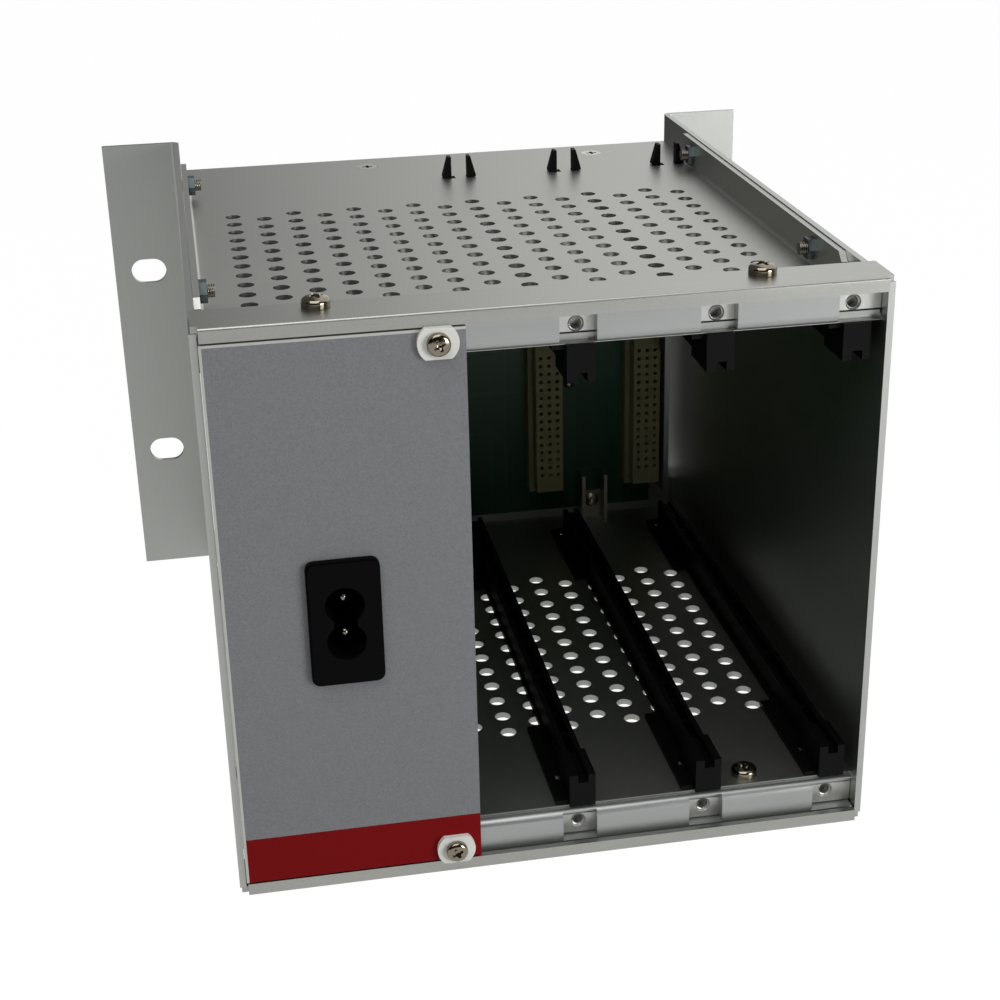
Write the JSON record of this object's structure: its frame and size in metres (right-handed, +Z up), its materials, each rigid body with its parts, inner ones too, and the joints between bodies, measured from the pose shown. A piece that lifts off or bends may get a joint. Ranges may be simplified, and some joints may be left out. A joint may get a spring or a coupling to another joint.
{
  "type": "subrack card cage",
  "caption": "Low 3U subrack with rear mounting ears, perforated trays, card guides, a backplane with sockets and a power supply module with an appliance inlet.",
  "frame": {"origin": "middle of the base: half of the overall width and depth, at the lower face of the front cover strip", "axes": "+X right as seen from the front, +Y towards the mounting ears at the rear, +Z up"},
  "size_m": [0.1898, 0.189, 0.1379],
  "materials": {
    "plate_aluminium": "matt brushed sheet",
    "tray_aluminium": "matt brushed sheet",
    "anodised_rail": "clear anodised, satin",
    "bar_metal": "bright milled",
    "bare_aluminium": "bare extrusion",
    "black_aluminium": "black anodised",
    "plated_steel": "zinc plated",
    "nut_steel": "zinc plated",
    "bracket_steel": "zinc plated sheet",
    "black_plastic": "moulded, slightly glossy",
    "panel_grey": "grey with a fine metallic grain",
    "nylon": "natural nylon",
    "inlet_plastic": "moulded, matt",
    "pin_metal": "nickel plated",
    "lead_insulation": "plain",
    "board_green": "solder mask",
    "backplane_green": "solder mask",
    "core_iron": "varnished laminations",
    "capacitor_sleeve": "shrink sleeve",
    "socket_beige": "glass-filled plastic"
  },
  "bodies": {
    "root": {"side_plate_left": "plate_aluminium", "side_plate_right": "plate_aluminium", "tray_top": "tray_aluminium", "tray_bottom": "tray_aluminium", "cover_strip_top": "tray_aluminium", "cover_strip_bottom": "tray_aluminium", "front_rail_top": "anodised_rail", "front_rail_bottom": "anodised_rail", "threaded_bar_top": "bar_metal", "threaded_bar_bottom": "bar_metal", "cover_screws": "plated_steel", "floor_screws": "plated_steel", "side_screws": "plated_steel", "side_nuts": "nut_steel", "guide_top_1": "black_plastic", "guide_top_2": "black_plastic", "guide_top_3": "black_plastic", "guide_bottom_1": "black_plastic", "guide_bottom_2": "black_plastic", "guide_bottom_3": "black_plastic", "power_panel": "panel_grey", "panel_collars": "nylon", "panel_screws": "plated_steel", "inlet_housing": "inlet_plastic", "inlet_pins": "pin_metal", "inlet_leads": "lead_insulation", "board_holders": "bare_aluminium", "holder_screws": "plated_steel", "power_board": "board_green", "transformer": "core_iron", "capacitors": "capacitor_sleeve", "heat_sink": "black_aluminium", "power_plug": "socket_beige", "backplane": "backplane_green", "socket_power": "socket_beige", "socket_1": "socket_beige", "socket_2": "socket_beige", "socket_3": "socket_beige", "backplane_brackets": "bracket_steel", "bracket_screws": "plated_steel", "backplane_screws": "plated_steel", "rear_rail_top": "anodised_rail", "rear_rail_bottom": "anodised_rail", "end_angle": "bare_aluminium"}
  },
  "joints": []
}
